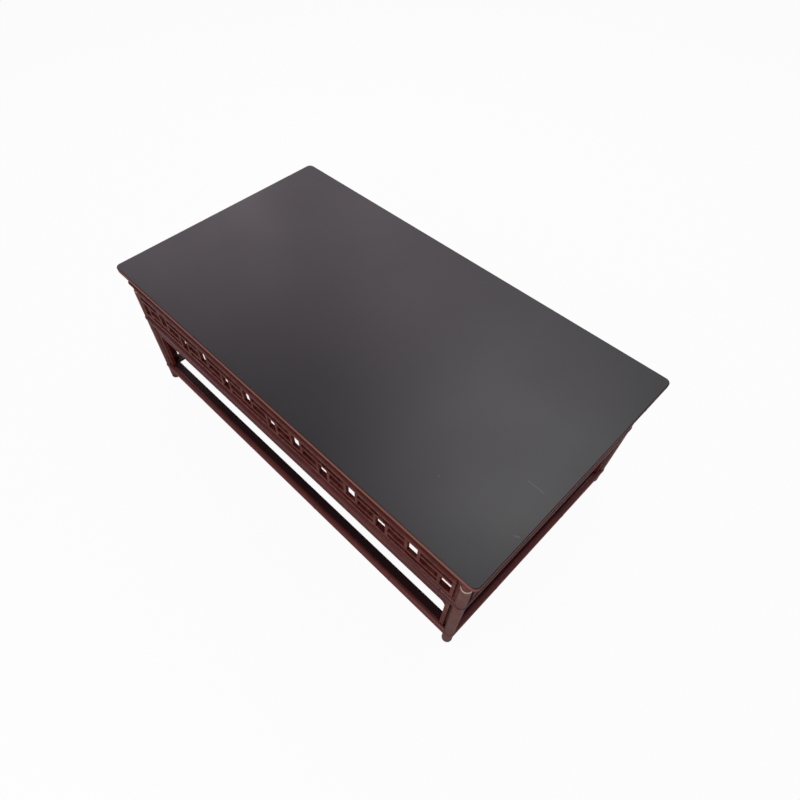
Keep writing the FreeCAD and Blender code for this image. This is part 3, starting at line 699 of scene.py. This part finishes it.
class KANGTABLE_OT_top(Operator):
    """Model the top's mitred frame and finish the panel"""
    bl_idname = "kang_table.top"
    bl_label = "Top"

    def execute(self, context):
        ring = self.frame_ring()
        for side in SIDES:
            member = copied(ring, f"top_member_{side}")
            self.keep_side(member, side)
            complete(member, 0, finish("black_over_red_lacquer"), f"top_frame_{side}")
        bpy.data.objects.remove(ring)
        refinished("top_panel", finish("black_lacquer"))
        return {"FINISHED"}

    def frame_ring(self):
        """The whole frame as one ring, rounded at its corners and edges."""
        block = add_block(
            (-HALF_LENGTH, -HALF_WIDTH, TOP_UNDERSIDE), (HALF_LENGTH, HALF_WIDTH, TABLE_HEIGHT))
        with editing(block):
            select_edges(block, lambda a, b: abs(a.z - b.z) > TOP_THICKNESS / 2)
            bpy.ops.mesh.bevel(offset=sizes().corner_radius, segments=CORNER_STEPS, affect="EDGES")
            for level, radius, steps in (
                (TABLE_HEIGHT, sizes().arris_round, TOP_ARRIS_STEPS),
                (TOP_UNDERSIDE, sizes().bead_round, BEAD_STEPS),
            ):
                select_edges(block, lambda a, b: abs(a.z - level) < TOUCH and abs(b.z - level) < TOUCH)
                bpy.ops.mesh.bevel(offset=radius, segments=steps, affect="EDGES")
        inner_x, inner_y = HALF_LENGTH - FRAME_WIDTH, HALF_WIDTH - FRAME_WIDTH
        middle = add_block(
            (-inner_x, -inner_y, TOP_UNDERSIDE - TOP_THICKNESS),
            (inner_x, inner_y, TABLE_HEIGHT + TOP_THICKNESS))
        take_away(block, middle)
        return block

    def keep_side(self, member, side):
        """Cut the ring along its mitres and keep one side."""
        rounding = sizes().corner_radius
        corner = Vector((HALF_LENGTH - rounding, HALF_WIDTH - rounding, 0))
        x, y = {"front": (0, -1), "right": (1, 0), "back": (0, 1), "left": (-1, 0)}[side]
        out, along = Vector((x, y, 0)), Vector((-y, x, 0))
        cuts = [(ORIGIN, -out)]
        cuts += [(corner * (out + sign * along), sign * along - out) for sign in (-1, 1)]
        with editing(member):
            for place, normal in cuts:
                bpy.ops.mesh.select_all(action="SELECT")
                bpy.ops.mesh.bisect(plane_co=place, plane_no=normal, use_fill=True, clear_outer=True)
            face_outwards()


class KANGTABLE_OT_legs(Operator):
    """Model the round legs with their rounded feet, necks and tenons"""
    bl_idname = "kang_table.legs"
    bl_label = "Legs"

    def execute(self, context):
        leg = self.turned_leg()
        for depth, y in (("front", -LEG_Y), ("back", LEG_Y)):
            for side, x in (("left", -LEG_X), ("right", LEG_X)):
                piece = copied(leg, f"turned_leg_{depth}_{side}", (x, y, 0))
                complete(piece, 0, finish("leg_lacquer"), f"leg_{depth}_{side}")
        bpy.data.objects.remove(leg)
        return {"FINISHED"}

    def turned_leg(self):
        """One leg on the origin's axis, drawn up from the rim of its foot."""
        foot, arris = sizes().foot_round, sizes().arris / 2
        sole, neck, tenon = LEG_RADIUS - foot, LEG_RADIUS - sizes().neck_step, sizes().tenon_radius
        stations = [(0.0, sole)]
        stations += [(foot * (1 - cosine), sole + foot * sine) for sine, cosine in quarter_turn(FOOT_STEPS)]
        stations += [
            (FRET_HIGH - arris, LEG_RADIUS), (FRET_HIGH, LEG_RADIUS - arris), (FRET_HIGH, neck),
            (TOP_UNDERSIDE, neck), (TOP_UNDERSIDE, tenon), (LEG_HIGH[2], tenon),
        ]
        bpy.ops.mesh.primitive_circle_add(
            vertices=sizes().ring_count, radius=sole, fill_type="NGON")
        leg = bpy.context.object
        with editing(leg):
            draw_out(Vector(ORIGIN), Vector((0, 0, 1)), stations)
            face_outwards()
        return leg


class KANGTABLE_OT_rails(Operator):
    """Model the straight rails under the top and the rails that wrap the legs below"""
    bl_idname = "kang_table.rails"
    bl_label = "Rails"

    def execute(self, context):
        # level: radius and height of its rails, spacing of their nodes, place of the first, finish
        levels = {
            "edge": (EDGE_RADIUS, EDGE_HEIGHT, 0.150, 0.062, "edge_rail_shaded_lacquer"),
            "mid": (MID_RADIUS, MID_HEIGHT, 0.222, 0.216, "red_brown_lacquer"),
            "base": (BASE_RADIUS, BASE_HEIGHT, 0.227, 0.098, "low_rail_lit_lacquer"),
        }
        for level, (radius, height, spacing, first, lacquer) in levels.items():
            for side, (turn, span, distance, _) in SIDES.items():
                out = {"edge": edge_out(side), "mid": MID_OUT, "base": BASE_OUT}[level]
                wraps = level != "edge"
                reach = span if wraps else span - EDGE_STOP
                clear = reach - LEG_RADIUS - sizes().ring_width
                counted = range(-NODE_COUNT, NODE_COUNT + 1)
                places = [first + spacing * index for index in counted]
                places = [place for place in places if abs(place) < clear]
                line = Vector((0, -(distance + out), height))
                piece = self.round_rail(f"round_{level}_rail_{side}", reach, line, radius, places)
                self.close_ends(piece, reach, distance, out, height, radius, wraps)
                complete(piece, turn, grained(lacquer, side), f"{level}_rail_{side}")
        return {"FINISHED"}

    def round_rail(self, name, reach, line, radius, node_places):
        """A rod along the front with bamboo-like nodes, open at its ends."""
        end_ring = reach - LEG_RADIUS * END_RING_SHARE
        lip, width = sizes().ring_lip, sizes().ring_width
        stations = [(-reach, radius), (-end_ring, radius)]
        for place in node_places:
            stations += [(place + share * width, radius + rise * lip) for share, rise in NODE_PROFILE]
        stations += [(end_ring, radius), (reach, radius)]
        bpy.ops.mesh.primitive_circle_add(
            vertices=sizes().ring_count, radius=radius, fill_type="NOTHING",
            location=(-reach, line.y, line.z), rotation=(0, math.pi / 2, 0))
        rail = bpy.context.object
        rail.name = name
        bpy.ops.object.transform_apply(location=True, rotation=True, scale=True)
        with editing(rail):
            draw_out(line, Vector((1, 0, 0)), stations)
        return rail

    def close_ends(self, rail, reach, distance, out, height, radius, wraps):
        """Close a rod's ends, first turning them round the legs to the mitres where it wraps them."""
        inner = (max(0.0, out - radius) + LEG_RADIUS) / 2
        for vertex in rail.data.vertices if wraps else ():
            if abs(vertex.co.x) > reach - TOUCH:
                vertex.co.y = min(vertex.co.y, -(distance + inner))
        with editing(rail):
            for sign in (-1, 1):
                select_edges(rail, lambda a, b: min(a.x * sign, b.x * sign) > reach - TOUCH)
                if wraps:
                    bpy.ops.mesh.spin(
                        steps=WRAP_STEPS, angle=-sign * math.pi / 4,
                        center=(sign * reach, -distance, height), axis=(0, 0, 1))
                bpy.ops.mesh.edge_face_add()
            bpy.ops.mesh.select_all(action="SELECT")
            bpy.ops.mesh.remove_doubles(threshold=TOUCH)
            face_outwards()


class KANGTABLE_OT_boards(Operator):
    """Finish the boards inside the lowest rails and the battens under the top"""
    bl_idname = "kang_table.boards"
    bl_label = "Boards and battens"

    def execute(self, context):
        for side in SIDES:
            refinished(f"base_board_{side}", grained("dark_board", side))
        for place in ("left", "middle", "right"):
            refinished(f"batten_{place}", finish("hidden_batten"))
        return {"FINISHED"}


class KANGTABLE_OT_lattices(Operator):
    """Model the lattice of every side: stepped rails, stiles, posts and running bars"""
    bl_idname = "kang_table.lattices"
    bl_label = "Lattices"

    def execute(self, context):
        for side, (turn, span, distance, pitches) in SIDES.items():
            along = grained("lattice_lacquer", side)
            upright = finish("lattice_lacquer_z")
            for piece, material, part in (
                (self.stepped_rail(side, "bottom"), along, "bottom_rail"),
                (self.stepped_rail(side, "top"), along, "top_rail"),
                (self.uprights(span, distance, pitches), upright, "uprights"),
                (self.bars(span, distance, pitches), along, "bars"),
            ):
                piece.name = f"lattice_{side}_{part}"
                complete(piece, turn, material, f"fret_{side}_{part}")
        return {"FINISHED"}

    def ends(self, span):
        """The outer and inner edges of a side's end stiles."""
        outer = span - LEG_RADIUS - sizes().fret_gap
        return outer, outer - sizes().stile_width

    def depths(self, distance):
        """The lattice's face, the face of its thinner parts and its back."""
        face = -(distance + FRET_FACE)
        return face, face + sizes().fret_step, face + FRET_DEPTH

    def rows(self, span, pitches):
        """Places of the lower and upper windows, and the lower edges of the lower and upper bars."""
        size = sizes()
        inner = self.ends(span)[1]
        pitch = (2 * inner - size.window_width) / pitches
        lower = [(index - pitches / 2) * pitch for index in range(pitches + 1)]
        upper = [place + pitch / 2 for place in lower[:-1]]
        return lower, upper, FRET_LOW + size.slot_height, FRET_HIGH - size.slot_height - size.bar_height

    def stepped_rail(self, side, which):
        """A rail with a raised bead along the windows; its thinner part meets legs and round rail."""
        size = sizes()
        span, distance = SIDES[side][1:3]
        outer = self.ends(span)[0]
        face, step, back = self.depths(distance)
        if which == "bottom":
            low, high, bead_edge, beyond = MID_HEIGHT, FRET_LOW, FRET_LOW - size.fret_bead, 1
            seat, leg_radius = (MID_OUT, MID_HEIGHT, MID_RADIUS), LEG_RADIUS
        else:
            low, high = FRET_HIGH, EDGE_HEIGHT - EDGE_RADIUS / 2
            bead_edge, beyond = FRET_HIGH + size.fret_bead, -1
            seat, leg_radius = (edge_out(side), EDGE_HEIGHT, EDGE_RADIUS), LEG_RADIUS - size.neck_step
        rail = add_block((-span, step, low), (span, back, high))
        slice_at(rail, "X", -outer)
        slice_at(rail, "X", outer)
        slice_at(rail, "Z", bead_edge)
        push_out(
            rail, lambda centre, normal: normal.y < -SQUARE and abs(centre.x) < outer
            and (centre.z - bead_edge) * beyond > 0, (0, face - step, 0))
        soften(rail)
        cope_to_rail(rail, span, distance, *seat)
        for sign in (-1, 1):
            notch_for_leg(rail, span, distance, sign, leg_radius)
        return rail

    def uprights(self, span, distance, pitches):
        """Stiles with their tongues to the legs, and a post on each side of every window."""
        size = sizes()
        outer, inner = self.ends(span)
        face, step, back = self.depths(distance)
        lower, upper, lower_bar, upper_bar = self.rows(span, pitches)
        pieces = []
        for sign in (-1, 1):
            near, far = sorted((sign * inner, sign * span))
            stile = add_block((near, step, FRET_LOW), (far, back, FRET_HIGH))
            slice_at(stile, "X", sign * outer)
            push_out(
                stile, lambda centre, normal: normal.y < -SQUARE and abs(centre.x) < outer,
                (0, face - step, 0))
            soften(stile)
            notch_for_leg(stile, span, distance, sign)
            pieces.append(stile)
        half_post = size.post_width / 2
        for windows, low, high in (
            (upper, lower_bar + size.bar_height, FRET_HIGH), (lower, FRET_LOW, upper_bar),
        ):
            post = add_block((-half_post, face, low), (half_post, face + size.bar_depth, high))
            soften(post)
            for window in windows:
                for sign in (-1, 1):
                    place = window + sign * (size.window_width / 2 + half_post)
                    if abs(place) < inner:
                        pieces.append(copied(post, "post", (place, 0, 0)))
            bpy.data.objects.remove(post)
        return joined(pieces)

    def bars(self, span, distance, pitches):
        """The two rows of bars, each stopping at the posts of the other row's windows."""
        size = sizes()
        inner = self.ends(span)[1]
        face = self.depths(distance)[0]
        lower, upper, lower_bar, upper_bar = self.rows(span, pitches)
        reach = size.window_width / 2 + size.post_width
        upper_stops = [-inner] + [place + sign * reach for place in upper for sign in (-1, 1)] + [inner]
        lower_stops = [place + sign * reach for place in lower for sign in (-1, 1)][1:-1]
        pieces = []
        for stops, low in ((upper_stops, upper_bar), (lower_stops, lower_bar)):
            for start, stop in zip(stops[0::2], stops[1::2]):
                bar = add_block((start, face, low), (stop, face + size.bar_depth, low + size.bar_height))
                soften(bar)
                pieces.append(bar)
        return joined(pieces)


class KANGTABLE_OT_aprons(Operator):
    """Model the apron strips under the middle rails and the strips beside the legs"""
    bl_idname = "kang_table.aprons"
    bl_label = "Aprons"

    def execute(self, context):
        for side, (turn, span, distance, _) in SIDES.items():
            apron = self.apron(span, distance)
            apron.name = f"rounded_apron_{side}"
            complete(apron, turn, grained("lattice_lacquer", side), f"apron_{side}")
            for end, sign in (("left", -1), ("right", 1)):
                strip = self.strip(span, distance, sign)
                strip.name = f"side_strip_{side}_{end}"
                complete(
                    strip, turn, finish("lattice_lacquer_z"), f"apron_{side}_{end}_strip")
        return {"FINISHED"}

    def across(self, span, distance):
        """The strips' front, step and back, and the inner and outer edges of a side strip."""
        front, back = APRON[0][1] + LEG_Y - distance, APRON[1][1] + LEG_Y - distance
        outer = span - LEG_RADIUS - sizes().strip_gap
        inner = STRIP[0][0] - LEG_X + span
        return front, front + sizes().strip_step, back, inner, outer

    def apron(self, span, distance):
        """A strip drawn out into an ear at each end along a rounded corner, with tongues to the legs."""
        rounding = sizes().apron_round
        front, step, back, inner, outer = self.across(span, distance)
        ear_low = APRON[0][2]
        low = ear_low + rounding
        straight = inner - rounding
        stations = [
            (straight + rounding * sine, ear_low + rounding * cosine)
            for sine, cosine in quarter_turn(APRON_STEPS)]
        stations.append((outer, ear_low))
        strip = add_block((-straight, front, low), (straight, back, MID_HEIGHT))
        for sign in (-1, 1):
            place, height = straight, low
            for next_place, next_height in stations:
                push_out(
                    strip, lambda centre, normal: normal.x * sign > SQUARE
                    and centre.x * sign > place - TOUCH, (sign * (next_place - place), 0, 0))
                for vertex in strip.data.vertices:
                    if vertex.select and vertex.co.z < height + TOUCH:
                        vertex.co.z = next_height
                place, height = next_place, next_height
            self.add_tongue(strip, sign, step, outer, span)
        cope_to_rail(strip, span, distance, MID_OUT, MID_HEIGHT, MID_RADIUS)
        for sign in (-1, 1):
            notch_for_leg(strip, span, distance, sign)
        soften(strip)
        return strip

    def add_tongue(self, strip, sign, step, outer, span):
        """Draw the back part of an end face out to the leg's axis."""
        slice_at(strip, "Y", step)
        push_out(
            strip, lambda centre, normal: normal.x * sign > SQUARE
            and centre.x * sign > outer - TOUCH and centre.y > step, (sign * (span - outer), 0, 0))

    def strip(self, span, distance, sign):
        """One strip beside a leg, from the base board up to the apron's ear."""
        front, step, back, inner, outer = self.across(span, distance)
        near, far = sorted((sign * inner, sign * outer))
        strip = add_block((near, front, STRIP[0][2]), (far, back, STRIP[1][2]))
        self.add_tongue(strip, sign, step, outer, span)
        cope_to_rail(strip, span, distance, BASE_OUT, BASE_HEIGHT, BASE_RADIUS)
        notch_for_leg(strip, span, distance, sign)
        soften(strip)
        return strip


# the floor's side, and how far it lies under the feet
FLOOR_SIDE, FLOOR_DROP = 60, 0.0005
# how much of the floor seen by the camera is plain white; the rest takes the table's shadow
FLOOR_WHITE_SHARE = 0.95
ROOM_COLOUR, ROOM_STRENGTH = (0.97, 0.92, 1.0), 0.31
# the point that the light panels face, their distance from it and their side
PANEL_AIM, PANEL_DISTANCE, PANEL_SIDE = Vector((0.1, 0.0, 0.36)), 2.3, 1.1
PLAIN, LILAC = (1.0, 1.0, 1.0), (1.0, 0.86, 0.96)
# name, azimuth and elevation in degrees, brightness, tint
PANELS = (
    ("ceiling_panel", 100, 64, 2.75, PLAIN),
    ("right_panel", 75, 60, 1.0, PLAIN),
    ("back_panel", 95, 42, 0.9, PLAIN),
    ("back_left_panel", 125, 40, 1.2, LILAC),
    ("window_panel", 143, 27, 0.85, LILAC),
    ("left_panel", 168, 27, 1.35, LILAC),
    ("front_panel", -77, 26, 5.0, PLAIN),
)
# the photograph's viewpoint: place, directions forwards and upwards, sensor width, lens and shifts
CAMERA_PLACE = Vector((0.585372, -0.567747, 1.145820))
CAMERA_FORWARD = Vector((-0.401817, 0.390669, -0.828203))
CAMERA_UPWARD = Vector((-0.589238, 0.582008, 0.560416))
SENSOR_WIDTH, LENS, SHIFT_X, SHIFT_Y = 36.0, 25.2654, 0.03567, 0.04553


class KANGTABLE_OT_stage(Operator):
    """Set up the plain floor, the soft light and the camera"""
    bl_idname = "kang_table.stage"
    bl_label = "Stage"

    def execute(self, context):
        self.floor()
        self.world()
        self.lamps()
        self.camera()
        context.scene.view_settings.view_transform = "Standard"
        return {"FINISHED"}

    def floor(self):
        """A wide floor that reads as white to the camera but keeps the table's soft shadow."""
        bpy.ops.mesh.primitive_plane_add(size=FLOOR_SIDE, location=(0, 0, -FLOOR_DROP))
        floor = bpy.context.object
        floor.name = "floor"
        material = bpy.data.materials.new("plain_floor")
        tree, output = bare_tree(material)
        seen = add_node(tree, "ShaderNodeEmission", {"Color": (1, 1, 1, 1), "Strength": 1.0})
        shader = add_node(tree, "ShaderNodeBsdfDiffuse", {"Color": opaque(colours().floor)})
        paths = tree.nodes.new("ShaderNodeLightPath").outputs
        direct = maths(tree, "MAXIMUM", paths["Is Camera Ray"], paths["Is Transmission Ray"])
        share = maths(tree, "MULTIPLY", direct, FLOOR_WHITE_SHARE)
        mix = add_node(
            tree, "ShaderNodeMixShader", {0: share, 1: shader.outputs[0], 2: seen.outputs[0]})
        feed(tree, output, mix.outputs[0])
        floor.data.materials.append(material)

    def world(self):
        """A pale room that lights the table softly and reads as white to the camera."""
        world = bpy.data.worlds.new("pale_room")
        bpy.context.scene.world = world
        tree, output = bare_tree(world, "ShaderNodeOutputWorld")
        paths = tree.nodes.new("ShaderNodeLightPath").outputs
        room = add_node(
            tree, "ShaderNodeBackground", {"Color": opaque(ROOM_COLOUR), "Strength": ROOM_STRENGTH})
        seen = add_node(tree, "ShaderNodeBackground", {"Color": (1, 1, 1, 1), "Strength": 1.0})
        mix = add_node(
            tree, "ShaderNodeMixShader",
            {0: paths["Is Camera Ray"], 1: room.outputs[0], 2: seen.outputs[0]})
        feed(tree, output, mix.outputs[0])

    def lamps(self):
        """Square soft panels round the table."""
        for name, azimuth, elevation, brightness, tint in PANELS:
            lamp = bpy.data.lights.new(name, "AREA")
            lamp.size = PANEL_SIDE
            lamp.color = tint
            lamp.energy = math.pi * PANEL_SIDE ** 2 * brightness
            holder = bpy.data.objects.new(name, lamp)
            bpy.context.scene.collection.objects.link(holder)
            swing = Matrix.Rotation(math.radians(azimuth), 3, "Z")
            lift = Matrix.Rotation(-math.radians(elevation), 3, "Y")
            direction = swing @ lift @ Vector((1, 0, 0))
            holder.location = PANEL_AIM + direction * PANEL_DISTANCE
            holder.rotation_euler = (-direction).to_track_quat("-Z", "Y").to_euler()

    def camera(self):
        """The photograph's viewpoint."""
        data = bpy.data.cameras.new("viewpoint")
        data.sensor_width, data.lens = SENSOR_WIDTH, LENS
        data.shift_x, data.shift_y = SHIFT_X, SHIFT_Y
        holder = bpy.data.objects.new("viewpoint", data)
        bpy.context.scene.collection.objects.link(holder)
        forward = CAMERA_FORWARD.normalized()
        upward = (CAMERA_UPWARD - forward * CAMERA_UPWARD.dot(forward)).normalized()
        turn = Matrix((forward.cross(upward), upward, -forward)).transposed()
        holder.matrix_world = Matrix.Translation(CAMERA_PLACE) @ turn.to_4x4()
        bpy.context.scene.camera = holder


class KANGTABLE_PT_panel(Panel):
    """Lists the table's pieces, sizes and colours"""
    bl_idname = "KANGTABLE_PT_panel"
    bl_label = "Kang Table"
    bl_space_type = "VIEW_3D"
    bl_region_type = "UI"
    bl_category = "Kang Table"

    def draw(self, context):
        layout = self.layout
        for operator in PIECE_OPERATORS:
            layout.operator(operator.bl_idname)
        for title, group in (
            ("Sizes", context.scene.kang_table_sizes), ("Colours", context.scene.kang_table_colours),
        ):
            layout.label(text=title)
            for name in group.__annotations__:
                layout.prop(group, name)


PIECE_OPERATORS = (
    KANGTABLE_OT_top,
    KANGTABLE_OT_legs,
    KANGTABLE_OT_rails,
    KANGTABLE_OT_boards,
    KANGTABLE_OT_lattices,
    KANGTABLE_OT_aprons,
    KANGTABLE_OT_stage,
)
CLASSES = (KangTableSizes, KangTableColours) + PIECE_OPERATORS + (KANGTABLE_PT_panel,)


def register():
    for entry in CLASSES:
        bpy.utils.register_class(entry)
    bpy.types.Scene.kang_table_sizes = PointerProperty(type=KangTableSizes)
    bpy.types.Scene.kang_table_colours = PointerProperty(type=KangTableColours)


def unregister():
    del bpy.types.Scene.kang_table_colours
    del bpy.types.Scene.kang_table_sizes
    for entry in reversed(CLASSES):
        bpy.utils.unregister_class(entry)


def main():
    register()
    bpy.ops.kang_table.top()
    bpy.ops.kang_table.legs()
    bpy.ops.kang_table.rails()
    bpy.ops.kang_table.boards()
    bpy.ops.kang_table.lattices()
    bpy.ops.kang_table.aprons()
    bpy.ops.kang_table.stage()
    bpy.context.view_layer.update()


if __name__ == "__main__":
    main()
